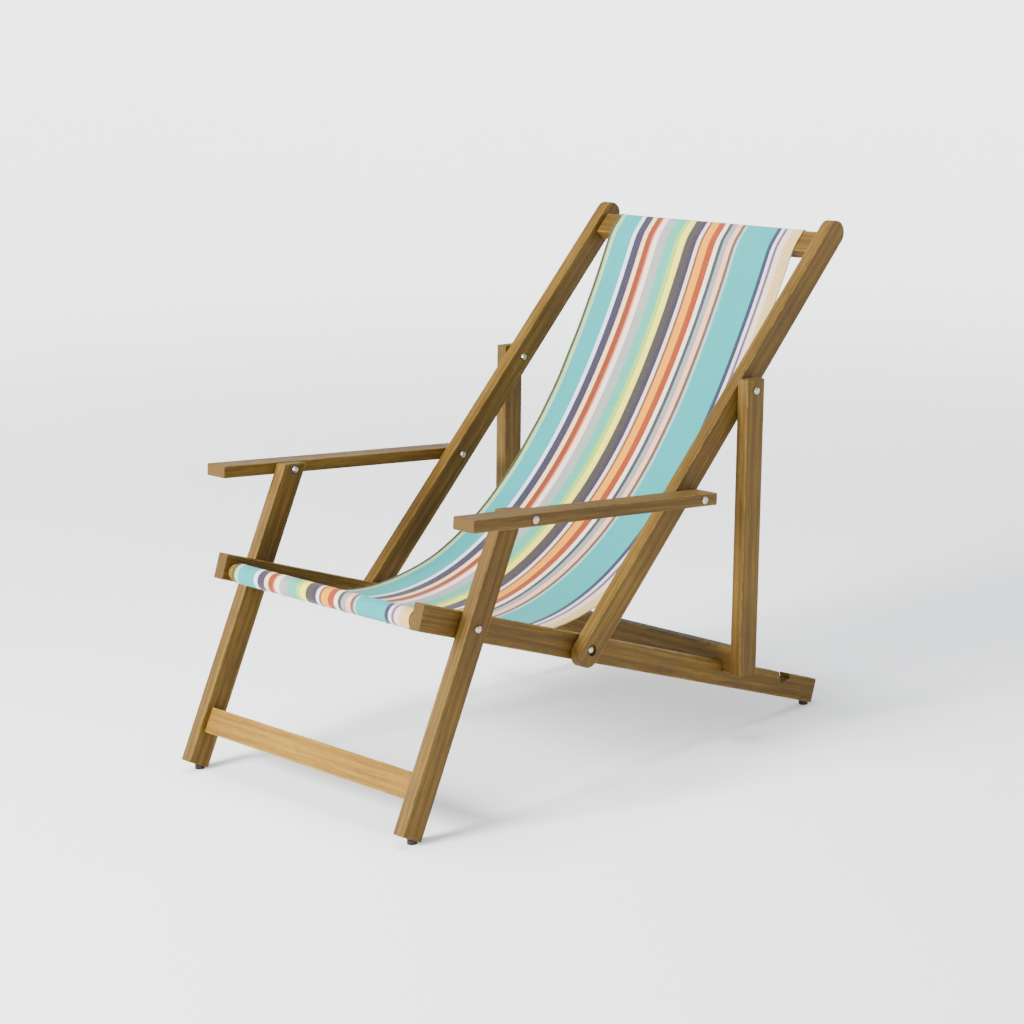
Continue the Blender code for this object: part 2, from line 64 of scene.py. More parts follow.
# ---- canvas ----
CANVAS_WIDTH = 0.4240
CANVAS_THICK = 0.0012
HEM_THICK = 0.0021
SIDE_HEM = 0.0110
END_HEM = 0.0140
FREE_LENGTH = 1.1310
WOOD_CLEARANCE = 0.0006
LEAVES_FRONT_BAR = math.radians(55.4)
TACKED_UNDER_BAR = math.radians(292.0)
TOP_EDGE_RADIUS = 0.0040
DOWN_THE_BACK = 0.0360
ROW_LENGTH = 0.0070
COLUMNS = 44
YARN_PITCH = 0.0009
STITCH_LENGTH = 0.0034
STITCH_PITCH = 0.0052
STITCH_HEIGHT = 0.0005
STITCH_HALF_WIDTH = 0.00034
STITCH_BEDDING = 0.0002
STITCH_FROM_HEM = 0.0022
TACKS = 9
TACKS_FROM_SIDE = 0.0160

# ---- how the hung cloth departs from a plain curve ----
EASES_OVER = 0.16
CUP = 0.0035
BROAD_RIPPLE = 0.0022
FINE_RIPPLE = 0.0007
EDGE_FLUTTER = 0.0020
PUCKER = 0.0010
PUCKER_REACH = 0.05
NARROWING = 0.010

# ---- stripes, from the sitter's right edge to the left: width in millimetres, sRGB colour ----
AQUA = (34, 154, 156)
STRIPES = (
    # The first band, dark olive along the sitter's right edge, is painted shade: the shadow in the fold
    # of the hem.
    (6, (62, 68, 36)),
    (8, (160, 194, 142)),
    (41, AQUA),
    (9, (214, 222, 240)),
    (17, (50, 47, 66)),
    (10, (250, 206, 156)),
    (12, (130, 52, 16)),
    (4, (198, 116, 78)),
    (12, (246, 212, 206)),
    (20, (148, 156, 148)),
    (21, (72, 168, 146)),
    (9, (150, 196, 74)),
    (14, (240, 226, 72)),
    (16, (60, 54, 52)),
    (10, (52, 44, 60)),
    (7, (226, 206, 210)),
    (5, (112, 72, 34)),
    (16, (230, 144, 0)),
    (14, (146, 58, 6)),
    (10, (250, 222, 206)),
    (7, (50, 64, 68)),
    (11, (142, 144, 142)),
    (11, (236, 176, 146)),
    (7, (98, 72, 54)),
    (6, (138, 180, 176)),
    (66, AQUA),
    (8, (44, 52, 74)),
    (7, (216, 206, 218)),
    (6, (96, 84, 104)),
    (12, (226, 196, 180)),
    (22, (206, 176, 112)),
)

# ---- studio ----
FLAT_FLOOR = 9.0
SWEEP_RADIUS = 3.0
WALL_TOP = 4.6
AROUND = 96

# ---- timber ----
HALF_BATTEN = 0.0210
HALF_TIMBER = 0.0110
HALF_ARM = 0.0100
OILED = ((0.034, 0.0158, 0.0016), (0.081, 0.0430, 0.0052), (0.160, 0.095, 0.0155))
# A lighter copy of OILED, painted light: the lit front faces of the leg crossbar and the front bar.
KEY_LIT_OILED = ((0.072, 0.031, 0.0024), (0.152, 0.075, 0.0052), (0.250, 0.140, 0.0140))


# ---------------------------------------------------------------- places taken from the frame

def centre(node):
    low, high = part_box(node)
    return (low + high) / 2


def joint_place(name):
    joint = next(j for j in frame["joints"] if j["name"] == name)
    return Vector(joint["pos_m"])


def slope_of(start, end):
    return math.atan2(end.z - start.z, end.y - start.y)


def heading(slope):
    return Vector((0.0, math.cos(slope), math.sin(slope)))


def square_to(slope):
    return Vector((0.0, -math.sin(slope), math.cos(slope)))


RECLINE_HINGE = joint_place("back_fold")
LEG_HINGE = joint_place("leg_fold")
ARM_REAR_HINGE = joint_place("arm_fold_left")
PROP_HINGE = joint_place("prop_fold")
ARM_FRONT_HINGE = centre("arm_front_pivot_bolt_left")
FRONT_BAR = centre("front_bar")
TOP_BAR = centre("top_bar")
SEAT_SLOPE = slope_of(LEG_HINGE, RECLINE_HINGE)
BACK_SLOPE = slope_of(RECLINE_HINGE, ARM_REAR_HINGE)
LEG_SLOPE = slope_of(LEG_HINGE, ARM_FRONT_HINGE)
ARM_SLOPE = slope_of(ARM_FRONT_HINGE, ARM_REAR_HINGE)
PROP_SLOPE = slope_of(PROP_HINGE, centre("prop_bar"))
FRONT_BAR_RADIUS = (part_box("front_bar")[1].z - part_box("front_bar")[0].z) / 2


# ---------------------------------------------------------------- materials

def linear(colour):
    """A display colour, 0 to 255, as linear values."""
    values = []
    for channel in colour:
        share = channel / 255
        values.append(share / 12.92 if share <= 0.04045 else ((share + 0.055) / 1.055) ** 2.4)
    return (*values, 1.0)


class Shading:
    """A material's node tree, with short ways to add and join its nodes."""

    def __init__(self, name):
        self.material = bpy.data.materials.new(name)
        self.material.use_nodes = True
        self.tree = self.material.node_tree
        self.shader = self.tree.nodes["Principled BSDF"]

    def feed(self, socket, value):
        if isinstance(value, bpy.types.NodeSocket):
            self.tree.links.new(value, socket)
        else:
            socket.default_value = value

    def node(self, kind, settings=None, **inputs):
        made = self.tree.nodes.new(kind)
        for key, value in (settings or {}).items():
            setattr(made, key, value)
        for key, value in inputs.items():
            self.feed(made.inputs[key.replace("_", " ")], value)
        return made

    def math(self, operation, first, second=0.0, third=0.0):
        made = self.tree.nodes.new("ShaderNodeMath")
        made.operation = operation
        for socket, value in zip(made.inputs, (first, second, third)):
            self.feed(socket, value)
        return made.outputs[0]

    def smooth(self, value, low, high, to_low=0.0, to_high=1.0):
        made = self.node("ShaderNodeMapRange", {"interpolation_type": "SMOOTHSTEP"})
        for key, item in zip(range(5), (value, low, high, to_low, to_high)):
            self.feed(made.inputs[key], item)
        return made.outputs[0]

    def blend(self, share, first, second, how="MIX"):
        made = self.node("ShaderNodeMix", {"data_type": "RGBA", "blend_type": how})
        self.feed(made.inputs[0], share)
        self.feed(made.inputs[6], first)
        self.feed(made.inputs[7], second)
        return made.outputs[2]

    def noise(self, vector, scale, detail=3.0, roughness=0.5):
        made = self.node("ShaderNodeTexNoise", Vector=vector, Scale=scale, Detail=detail)
        self.feed(made.inputs["Roughness"], roughness)
        return made.outputs[0]

    def stretched(self, vector, x, y, z, shift=0.0):
        made = self.node("ShaderNodeMapping", Vector=vector)
        made.inputs["Scale"].default_value = (x, y, z)
        made.inputs["Location"].default_value = (shift, shift * 1.7, shift * 0.6)
        return made.outputs[0]

    def ramp(self, share, stops, interpolation="LINEAR"):
        made = self.tree.nodes.new("ShaderNodeValToRGB")
        made.color_ramp.interpolation = interpolation
        elements = made.color_ramp.elements
        while len(elements) < len(stops):
            elements.new(1.0)
        for element, (place, colour) in zip(elements, stops):
            element.position = place
            element.color = colour
        self.feed(made.inputs[0], share)
        return made.outputs[0]

    def bump(self, height, strength, distance, under=None):
        made = self.node("ShaderNodeBump", Height=height, Strength=strength, Distance=distance)
        if under is not None:
            self.feed(made.inputs["Normal"], under)
        return made.outputs[0]


def wood(name, place, slope, half_across, half_thick, tones, seed, crossways=False):
    """Oiled hardwood worn pale on its own edges, with its grain up the slope or, crossways, along X."""
    s = Shading(name)
    place_of = s.node("ShaderNodeTexCoord")
    local = s.node("ShaderNodeMapping", {"vector_type": "TEXTURE"}, Vector=place_of.outputs["Object"])
    local.inputs["Location"].default_value = place
    local.inputs["Rotation"].default_value = (slope, 0.0, 0.0)
    at = local.outputs[0]
    if crossways:
        x, y, z = s.node("ShaderNodeSeparateXYZ", Vector=at).outputs
        at = s.node("ShaderNodeCombineXYZ", X=z, Y=x, Z=y).outputs[0]

    wander = s.noise(s.stretched(at, 22, 2.2, 22, seed), 1.0, 2.0)
    rings = s.node("ShaderNodeTexWave", {"wave_type": "RINGS", "rings_direction": "Y"})
    s.feed(rings.inputs["Vector"], s.stretched(at, 18, 0.9, 18, 2.4 + seed))
    rings.inputs["Scale"].default_value = 2.2
    rings.inputs["Distortion"].default_value = 6.5
    rings.inputs["Detail"].default_value = 3.0
    rings.inputs["Detail Scale"].default_value = 1.4
    fibres = s.noise(s.stretched(at, 420, 11, 420, seed * 3), 1.0, 5.0, 0.66)
    pores = s.noise(s.stretched(at, 1000, 34, 1000, seed * 5), 1.0, 2.0)
    board = s.noise(s.stretched(at, 7, 3.0, 7, seed * 7), 1.0, 2.0)

    figure = s.math("MULTIPLY_ADD", rings.outputs["Fac"], 0.13, s.math("MULTIPLY", wander, 0.32))
    figure = s.math("MULTIPLY_ADD", fibres, 0.74, figure)
    figure = s.math("MULTIPLY_ADD", board, 0.42, s.math("SUBTRACT", figure, 0.30))
    dark, middle, light = [(*tone, 1.0) for tone in tones]
    colour = s.ramp(figure, ((0.22, dark), (0.52, middle), (0.82, light)))
    pore = s.smooth(pores, 0.56, 0.70)
    colour = s.blend(s.math("MULTIPLY", pore, 0.42), colour, (*[0.45 * t for t in tones[0]], 1.0))

    parts = s.node("ShaderNodeSeparateXYZ", Vector=at)
    to_side = s.math("DIVIDE", s.math("ABSOLUTE", parts.outputs[0]), half_thick)
    to_edge = s.math("DIVIDE", s.math("ABSOLUTE", parts.outputs[2]), half_across)
    corner = s.smooth(s.math("MINIMUM", to_side, to_edge), 0.84, 0.99)
    rubbed = s.math("MULTIPLY", corner, s.smooth(s.noise(at, 55.0, 3.0), 0.35, 0.65, 0.12, 0.75))
    colour = s.blend(rubbed, colour, (*[min(1.0, 1.35 * t) for t in tones[2]], 1.0))

    facing = s.node("ShaderNodeVectorMath", {"operation": "DOT_PRODUCT"})
    s.feed(facing.inputs[0], place_of.outputs["Normal"])
    facing.inputs[1].default_value = (1.0, 0.0, 0.0) if crossways else heading(slope)
    end = s.smooth(s.math("ABSOLUTE", facing.outputs["Value"]), 0.75, 0.95)
    vessels = s.noise(s.stretched(at, 900, 900, 900, seed), 1.0, 2.0)
    cut_tone = s.blend(s.smooth(vessels, 0.4, 0.62), (*tones[1], 1.0), (*tones[0], 1.0))
    colour = s.blend(s.math("MULTIPLY", end, 0.72), colour, cut_tone)

    s.feed(s.shader.inputs["Base Color"], colour)
    s.feed(s.shader.inputs["Roughness"], s.smooth(fibres, 0.3, 0.7, 0.52, 0.70))
    height = s.math("SUBTRACT", fibres, s.math("MULTIPLY", pore, 0.6))
    planed = s.node("ShaderNodeNewGeometry").outputs["True Normal"]
    soft = s.bump(s.noise(s.stretched(at, 60, 5, 60, seed), 1.0, 2.0), 0.35, 0.0006, planed)
    s.feed(s.shader.inputs["Normal"], s.bump(height, 0.34, 0.00028, soft))
    s.shader.inputs["Specular IOR Level"].default_value = 0.16
    return s.material


def bright_steel(name, seed):
    """Turned and polished steel with faint lathe lines and fingered patches."""
    s = Shading(name)
    at = s.node("ShaderNodeTexCoord").outputs["Object"]
    lines = s.noise(s.stretched(at, 2600, 240, 240, seed), 1.0, 2.0)
    patches = s.noise(at, 240.0, 3.0)
    tone = s.blend(s.smooth(patches, 0.35, 0.7), (0.44, 0.42, 0.38, 1.0), (0.25, 0.23, 0.19, 1.0))
    s.feed(s.shader.inputs["Base Color"], tone)
    s.shader.inputs["Metallic"].default_value = 1.0
    s.feed(s.shader.inputs["Roughness"], s.smooth(patches, 0.3, 0.7, 0.24, 0.42))
    s.feed(s.shader.inputs["Normal"], s.bump(lines, 0.12, 0.00008))
    return s.material


def moulded_plastic(name, colour, scuffed, seed):
    """Fine-grained moulded plastic, scuffed paler in places."""
    s = Shading(name)
    at = s.node("ShaderNodeTexCoord").outputs["Object"]
    scuffs = s.smooth(s.noise(s.stretched(at, 90, 90, 340, seed), 1.0, 4.0), 0.48, 0.70)
    s.feed(s.shader.inputs["Base Color"], s.blend(scuffs, (*colour, 1.0), (*scuffed, 1.0)))
    s.feed(s.shader.inputs["Roughness"], s.smooth(scuffs, 0.0, 1.0, 0.42, 0.68))
    s.shader.inputs["Specular IOR Level"].default_value = 0.2
    s.feed(s.shader.inputs["Normal"], s.bump(s.noise(at, 1900.0, 2.0), 0.25, 0.0001))
    return s.material


def stripe_ramp(s, across, stripes, start):
    """A ramp of hard-edged stripes; across is in metres from the canvas's middle."""
    total = sum(width for width, _ in stripes) / 1000
    share = s.math("DIVIDE", s.math("SUBTRACT", across, start), total)
    stops = []
    reached = 0.0
    for width, colour in stripes:
        stops.append((reached / (1000 * total), linear(colour)))
        reached += width
    return s.ramp(share, stops, "CONSTANT")


def canvas():
    """Yarn-dyed plain-weave cotton; the cloth's own UVs are metres across and along it."""
    s = Shading("striped_canvas")
    cloth = s.node("ShaderNodeUVMap", {"uv_map": "cloth"}).outputs[0]
    parts = s.node("ShaderNodeSeparateXYZ", Vector=cloth)
    across = parts.outputs[0]
    along = parts.outputs[1]

    ragged = s.math("SUBTRACT", s.noise(s.stretched(cloth, 300, 900, 1), 1.0, 2.0), 0.5)
    edge = s.math("MULTIPLY_ADD", ragged, 0.0011, across)
    half = len(STRIPES) // 2
    split = sum(width for width, _ in STRIPES[:half]) / 1000 - CANVAS_WIDTH / 2
    right_half = stripe_ramp(s, edge, STRIPES[:half], -CANVAS_WIDTH / 2)
    left_half = stripe_ramp(s, edge, STRIPES[half:], split)
    colour = s.blend(s.math("GREATER_THAN", edge, split), right_half, left_half)

    turn = 2 * math.pi / YARN_PITCH
    warp = s.math("SINE", s.math("MULTIPLY", across, turn))
    weft = s.math("SINE", s.math("MULTIPLY", along, turn))
    weave = s.math("MULTIPLY", warp, weft)
    warp_slub = s.noise(s.stretched(cloth, 1100, 14, 1, 0.4), 1.0, 3.0)
    weft_slub = s.noise(s.stretched(cloth, 16, 1000, 1, 0.9), 1.0, 3.0)
    faded = s.noise(s.stretched(cloth, 5, 3, 1, 0.2), 1.0, 3.0)

    shade = s.math("MULTIPLY_ADD", weave, 0.055, 0.700)
    shade = s.math("MULTIPLY_ADD", s.math("SUBTRACT", warp_slub, 0.5), 0.30, shade)
    shade = s.math("MULTIPLY_ADD", s.math("SUBTRACT", weft_slub, 0.5), 0.26, shade)
    shade = s.math("MULTIPLY_ADD", s.math("SUBTRACT", faded, 0.5), 0.10, shade)
    tint = s.node("ShaderNodeCombineColor", Red=shade, Green=shade, Blue=shade)
    colour = s.blend(1.0, colour, tint.outputs[0], "MULTIPLY")
    pale_fleck = s.smooth(s.noise(s.stretched(cloth, 900, 900, 1), 1.0, 1.0), 0.66, 0.78, 0.0, 0.22)
    colour = s.blend(pale_fleck, colour, (0.82, 0.80, 0.75, 1.0))

    s.feed(s.shader.inputs["Base Color"], colour)
    s.feed(s.shader.inputs["Roughness"], s.smooth(weft_slub, 0.3, 0.7, 0.82, 0.95))
    s.shader.inputs["Sheen Weight"].default_value = 0.10
    s.shader.inputs["Sheen Roughness"].default_value = 0.5
    s.shader.inputs["Specular IOR Level"].default_value = 0.2
    yarns = s.math("MULTIPLY_ADD", weave, 0.5, s.math("ADD", warp_slub, weft_slub))
    s.feed(s.shader.inputs["Normal"], s.bump(yarns, 0.45, 0.00025))
    return s.material


def thread():
    """Twisted sewing thread, its tone varying along the ply."""
    s = Shading("hem_thread")
    at = s.node("ShaderNodeTexCoord").outputs["Object"]
    ply = s.noise(s.stretched(at, 900, 2600, 2600), 1.0, 2.0)
    tone = s.blend(s.smooth(ply, 0.35, 0.65), (0.30, 0.27, 0.20, 1.0), (0.52, 0.48, 0.38, 1.0))
    s.feed(s.shader.inputs["Base Color"], tone)
    s.shader.inputs["Roughness"].default_value = 0.85
    s.feed(s.shader.inputs["Normal"], s.bump(ply, 0.4, 0.0001))
    return s.material


def give(node, material):
    """Put one material in every slot of a CAD node."""
    for slot in NODES[node].material_slots:
        slot.material = material


def finish_frame():
    """Each timber's own grain, and the metal and plastic pieces."""
    members = (
        ("seat_rail", RECLINE_HINGE, SEAT_SLOPE, OILED),
        ("back_rail", RECLINE_HINGE, BACK_SLOPE, OILED),
        ("front_leg", LEG_HINGE, LEG_SLOPE, OILED),
        ("prop", PROP_HINGE, PROP_SLOPE, OILED),
        ("armrest", ARM_FRONT_HINGE, ARM_SLOPE, OILED),
    )
    for index, (member, point, slope, tones) in enumerate(members):
        for turn, word in enumerate(("left", "right")):
            name = member + "_" + word
            middle = centre(name)
            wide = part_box(name)[1].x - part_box(name)[0].x
            across = HALF_ARM if member == "armrest" else HALF_BATTEN
            place = Vector((middle.x, point.y, point.z))
            seed = 1.37 * index + 4.11 * turn + 0.23
            give(name, wood(name + "_wood", place, slope, across, wide / 2, tones, seed))
    # the leg crossbar and front bar take the lighter copy, painted light on their lit fronts
    bars = (
        ("leg_crossbar", LEG_SLOPE, KEY_LIT_OILED, 9.2),
        ("top_bar", BACK_SLOPE, OILED, 10.7),
        ("prop_bar", PROP_SLOPE, OILED, 11.9),
        ("front_bar", 0.0, KEY_LIT_OILED, 12.6),
    )
    for name, slope, tones, seed in bars:
        at = centre(name)
        give(name, wood(name + "_wood", at, slope, HALF_BATTEN, HALF_TIMBER, tones, seed, crossways=True))
    steel = bright_steel("polished_steel", 0.3)
    nylon = moulded_plastic("brown_nylon", (0.050, 0.030, 0.018), (0.115, 0.080, 0.055), 0.7)
    pad = moulded_plastic("black_pad", (0.012, 0.009, 0.008), (0.040, 0.033, 0.028), 0.1)
    for name in NODES:
        if "_bolt_" in name or "_nut_" in name:
            give(name, steel)
        elif "_washer_" in name or "_cover_" in name:
            give(name, nylon)
        elif "glide" in name:
            give(name, pad)


# ---------------------------------------------------------------- the canvas's line

def hanging_curve(start, end, length):
    """Points on the catenary of the given length between two places, ROW_LENGTH apart."""
    span = end.y - start.y
    rise = end.z - start.z
    target = math.sqrt(length**2 - rise**2)
    low = 0.05
    high = 5.0
    for _ in range(80):
        scale = (low + high) / 2
        if 2 * scale * math.sinh(span / (2 * scale)) > target:
            low = scale
        else:
            high = scale
    low_y = (start.y + end.y) / 2 - math.atanh(rise / length) * scale
    arc = scale * math.sinh((start.y - low_y) / scale)
    base = start.z - scale * math.cosh((start.y - low_y) / scale)
    rows = round(length / ROW_LENGTH)
    points = []
    for row in range(rows + 1):
        y = low_y + scale * math.asinh((arc + length * row / rows) / scale)
        points.append(Vector((0.0, y, base + scale * math.cosh((y - low_y) / scale))))
    return points


def arc_points(middle, radius, start, end):
    rows = max(4, round(abs(end - start) * radius / (ROW_LENGTH / 2)))
    angles = [start + (end - start) * row / rows for row in range(rows + 1)]
    return [middle + radius * heading(angle) for angle in angles]


def straight(start, end):
    rows = max(2, round((end - start).length / (ROW_LENGTH / 2)))
    return [start.lerp(end, row / rows) for row in range(1, rows)]


def canvas_line():
    """The cloth's middle line: under and round the front bar, down, up and over the top bar."""
    off = WOOD_CLEARANCE + HEM_THICK / 2
    nose = arc_points(FRONT_BAR, FRONT_BAR_RADIUS + off, TACKED_UNDER_BAR, LEAVES_FRONT_BAR)
    up = heading(BACK_SLOPE)
    forward = square_to(BACK_SLOPE)
    face = TOP_BAR + (HALF_TIMBER + off) * forward
    lower = face - HALF_BATTEN * up
    turn = TOP_EDGE_RADIUS + off
    upper_front = TOP_BAR + (HALF_BATTEN - TOP_EDGE_RADIUS) * up
    front_corner = upper_front + (HALF_TIMBER - TOP_EDGE_RADIUS) * forward
    back_corner = upper_front - (HALF_TIMBER - TOP_EDGE_RADIUS) * forward
    forward_angle = BACK_SLOPE + math.pi / 2
    over = arc_points(front_corner, turn, forward_angle, BACK_SLOPE)
    down = arc_points(back_corner, turn, BACK_SLOPE, BACK_SLOPE - math.pi / 2)
    tail = down[-1] - DOWN_THE_BACK * up
    free = hanging_curve(nose[-1], lower, FREE_LENGTH)
    line = nose + free[1:] + straight(lower, over[0]) + over
    line += straight(over[-1], down[0]) + down + straight(down[-1], tail) + [tail]
    return line, len(nose), len(nose) + len(free) - 1


def softened(line, first, last):
    """Round the kink where the cloth meets the top bar, leaving the rest alone."""
    for _ in range(10):
        moved = [point.copy() for point in line]
        for index in range(first, last):
            moved[index] = (line[index - 1] + 2 * line[index] + line[index + 1]) / 4
        line = moved
    return line


def distances(line):
    reached = [0.0]
    for before, after in zip(line, line[1:]):
        reached.append(reached[-1] + (after - before).length)
    return reached


def upward(line, index):
    """The direction square to the cloth on its upper, sat-on face."""
    before = line[max(index - 1, 0)]
    after = line[min(index + 1, len(line) - 1)]
    ahead = (after - before).normalized()
    return Vector((0.0, -ahead.z, ahead.y))


class Cloth:
    """The canvas's middle surface: a place for any distance across and along it."""

    def __init__(self):
        line, leaves, meets = canvas_line()
        self.line = softened(line, meets - 7, meets + 5)
        self.reached = distances(self.line)
        self.length = self.reached[-1]
        self.leaves = self.reached[leaves]
        self.meets = self.reached[meets]

    def slack(self, along):
        """0 where the cloth is held on a bar, 1 where it hangs free."""
        rise = min(1.0, max(0.0, (along - self.leaves) / EASES_OVER))
        fall = min(1.0, max(0.0, (self.meets - along) / EASES_OVER))
        low = min(rise, fall)
        return low * low * (3 - 2 * low)

    def at(self, across, row):
        """A row's place at a distance across, with the cloth's slight cup and ripples."""
        along = self.reached[row]
        square = upward(self.line, row)
        slack = self.slack(along)
        share = 2 * across / CANVAS_WIDTH
        cup = CUP * slack * (share * share - 0.4)
        broad = noise.noise(Vector((across * 9, along * 4.5, 3.1)))
        fine = noise.noise(Vector((across * 34, along * 6.5, 8.4)))
        edge = abs(share) ** 6
        flutter = noise.noise(Vector((share, along * 13, 5.0)))
        rumple = slack * (BROAD_RIPPLE * broad + FINE_RIPPLE * fine + EDGE_FLUTTER * edge * flutter)
        below_top = (self.meets - along) / PUCKER_REACH
        near_top = math.exp(-(below_top**2)) if below_top > 0 else 0.0
        pucker = PUCKER * near_top * noise.noise(Vector((across * 42, 0.0, 1.7)))
        inward = 1.0 - NARROWING * slack
        return Vector((across * inward, 0.0, 0.0)) + self.line[row] + (cup + rumple + pucker) * square


def column_places():
    """Distances across the cloth, with a column on each side of both hems' inner edges."""
    half = CANVAS_WIDTH / 2
    inner = half - SIDE_HEM
    steps = [-inner + 2 * inner * i / (COLUMNS - 1) for i in range(COLUMNS)]
    hem = [half, half - 0.0008, half - SIDE_HEM / 2, inner + 0.0008]
    return [-x for x in hem] + steps + hem[::-1]


def make_canvas(cloth):
    """The sheet with a real thickness, thicker in the side hems and the two tacked ends."""
    columns = column_places()
    rows = len(cloth.line)
    mesh = bpy.data.meshes.new("canvas_sling")
    places = [cloth.at(across, row) for row in range(rows) for across in columns]
    width = len(columns)
    faces = []
    for row in range(rows - 1):
        for column in range(width - 1):
            corner = row * width + column
            faces.append((corner, corner + 1, corner + 1 + width, corner + width))
    mesh.from_pydata([tuple(place) for place in places], [], faces)
    mesh.update()
    uv = mesh.uv_layers.new(name="cloth")
    for loop in mesh.loops:
        row, column = divmod(loop.vertex_index, width)
        uv.data[loop.index].uv = (columns[column], cloth.reached[row])
    piece = bpy.data.objects.new("canvas_sling", mesh)
    bpy.context.scene.collection.objects.link(piece)

    thick = piece.vertex_groups.new(name="hems")
    for index in range(len(mesh.vertices)):
        row, column = divmod(index, width)
        from_side = CANVAS_WIDTH / 2 - abs(columns[column])
        from_end = min(cloth.reached[row], cloth.length - cloth.reached[row])
        hemmed = from_side < SIDE_HEM - 0.0001 or from_end < END_HEM
        thick.add([index], 1.0 if hemmed else CANVAS_THICK / HEM_THICK, "REPLACE")
    solid = piece.modifiers.new("thickness", "SOLIDIFY")
    solid.thickness = HEM_THICK
    solid.offset = 0.0
    solid.vertex_group = "hems"
    solid.use_even_offset = True
    apply_modifiers(piece)
    for polygon in piece.data.polygons:
        polygon.use_smooth = True
    piece.data.materials.append(canvas())
    return piece


def apply_modifiers(piece):
    graph = bpy.context.evaluated_depsgraph_get()
    ready = piece.evaluated_get(graph)
    mesh = bpy.data.meshes.new_from_object(ready, preserve_all_data_layers=True, depsgraph=graph)
    piece.modifiers.clear()
    piece.data = mesh


# ---------------------------------------------------------------- stitching and tacks

def row_at(cloth, along):
    return min(range(len(cloth.reached)), key=lambda row: abs(cloth.reached[row] - along))


def spot(cloth, across, along):
    """The upper face's place and its two directions at a distance across and along."""
    row = max(1, min(len(cloth.line) - 2, row_at(cloth, along)))
    before = cloth.at(across, row - 1)
    after = cloth.at(across, row + 1)
    ahead = (after - before).normalized()
    share = (along - cloth.reached[row - 1]) / (cloth.reached[row + 1] - cloth.reached[row - 1])
    aside = (cloth.at(across + 0.001, row) - cloth.at(across - 0.001, row)).normalized()
    square = aside.cross(ahead).normalized()
    return before.lerp(after, share), ahead, aside, square


def add_stitch(shape, place, ahead, aside, square):
    """One raised stitch: a short bar with a crowned top, its ends sunk into the cloth."""
    profile = ((-0.50, 0.10), (-0.36, 0.75), (0.0, 1.0), (0.36, 0.75), (0.50, 0.10))
    rings = []
    for share, height in profile:
        middle = place + share * STITCH_LENGTH * ahead
        top = STITCH_HEIGHT * height
        ring = []
        for side in (-1, 0, 1):
            lift = top if side == 0 else top * 0.45
            ring.append(shape.verts.new(middle + side * STITCH_HALF_WIDTH * aside + lift * square))
        ring.append(shape.verts.new(middle - STITCH_BEDDING * square))
        rings.append(ring)
    for first, second in zip(rings, rings[1:]):
        for i in range(4):
            j = (i + 1) % 4
            shape.faces.new((first[i], first[j], second[j], second[i]))
    shape.faces.new(rings[0][::-1])
    shape.faces.new(rings[-1])


def make_stitching(cloth):
    """Two rows of stitches, each just inside a side hem's inner edge, on the upper face."""
    shape = bmesh.new()
    count = int((cloth.length - 2 * END_HEM) / STITCH_PITCH)
    for side in (-1, 1):
        across = side * (CANVAS_WIDTH / 2 - SIDE_HEM + STITCH_FROM_HEM)
        for index in range(count):
            along = END_HEM + (index + 0.5) * STITCH_PITCH
            place, ahead, aside, square = spot(cloth, across, along)
            add_stitch(shape, place + HEM_THICK / 2 * square, ahead, aside, square)
    bmesh.ops.recalc_face_normals(shape, faces=shape.faces)
    return new_piece("hem_stitching", shape, thread())


def add_tack(shape, place, square):
    """A dome-headed tack pressed on the cloth, with the head's rim rolled under."""
    turn = Vector((0.0, 0.0, 1.0)).rotation_difference(square).to_matrix().to_4x4()
    matrix = Matrix.Translation(place) @ turn
    profile = ((0.0, 0.0021), (0.0014, 0.0019), (0.0026, 0.0013), (0.0032, 0.0004), (0.0030, 0.0))
    sides = 16
    rings = []
    for radius, height in profile[1:]:
        angles = [math.tau * i / sides for i in range(sides)]
        spots = [Vector((radius * math.cos(a), radius * math.sin(a), height)) for a in angles]
        rings.append([shape.verts.new(matrix @ one) for one in spots])
    crown = shape.verts.new(matrix @ Vector((0.0, 0.0, profile[0][1])))
    for i in range(sides):
        j = (i + 1) % sides
        shape.faces.new((crown, rings[0][i], rings[0][j]))
        for upper, lower in zip(rings, rings[1:]):
            shape.faces.new((upper[i], lower[i], lower[j], upper[j]))
    shape.faces.new(rings[-1][::-1])


def make_tacks(cloth, name, along, steel):
    """A row of tacks through the folded end of the cloth, on its outer face."""
    shape = bmesh.new()
    reach = CANVAS_WIDTH / 2 - TACKS_FROM_SIDE
    for index in range(TACKS):
        across = -reach + 2 * reach * index / (TACKS - 1)
        place, _, _, square = spot(cloth, across, along)
        add_tack(shape, place + (HEM_THICK / 2 + 0.0001) * square, square)
    bmesh.ops.recalc_face_normals(shape, faces=shape.faces)
    return new_piece(name, shape, steel)


def new_piece(name, shape, material):
    mesh = bpy.data.meshes.new(name)
    shape.to_mesh(mesh)
    shape.free()
    for polygon in mesh.polygons:
        polygon.use_smooth = True
    mesh.materials.append(material)
    piece = bpy.data.objects.new(name, mesh)
    bpy.context.scene.collection.objects.link(piece)
    return piece


def hang_canvas():
    cloth = Cloth()
    sheet = make_canvas(cloth)
    stitching = make_stitching(cloth)
    steel = bright_steel("tack_steel", 0.9)
    front = make_tacks(cloth, "front_tacks", END_HEM / 2, steel)
    top = make_tacks(cloth, "top_tacks", cloth.length - 0.0080, steel)
    for piece in (sheet, stitching):
        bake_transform(piece)
    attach(front, "seat_frame")
    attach(top, "back_frame")
    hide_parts("sling_seat", "sling_back")


# ---------------------------------------------------------------- studio

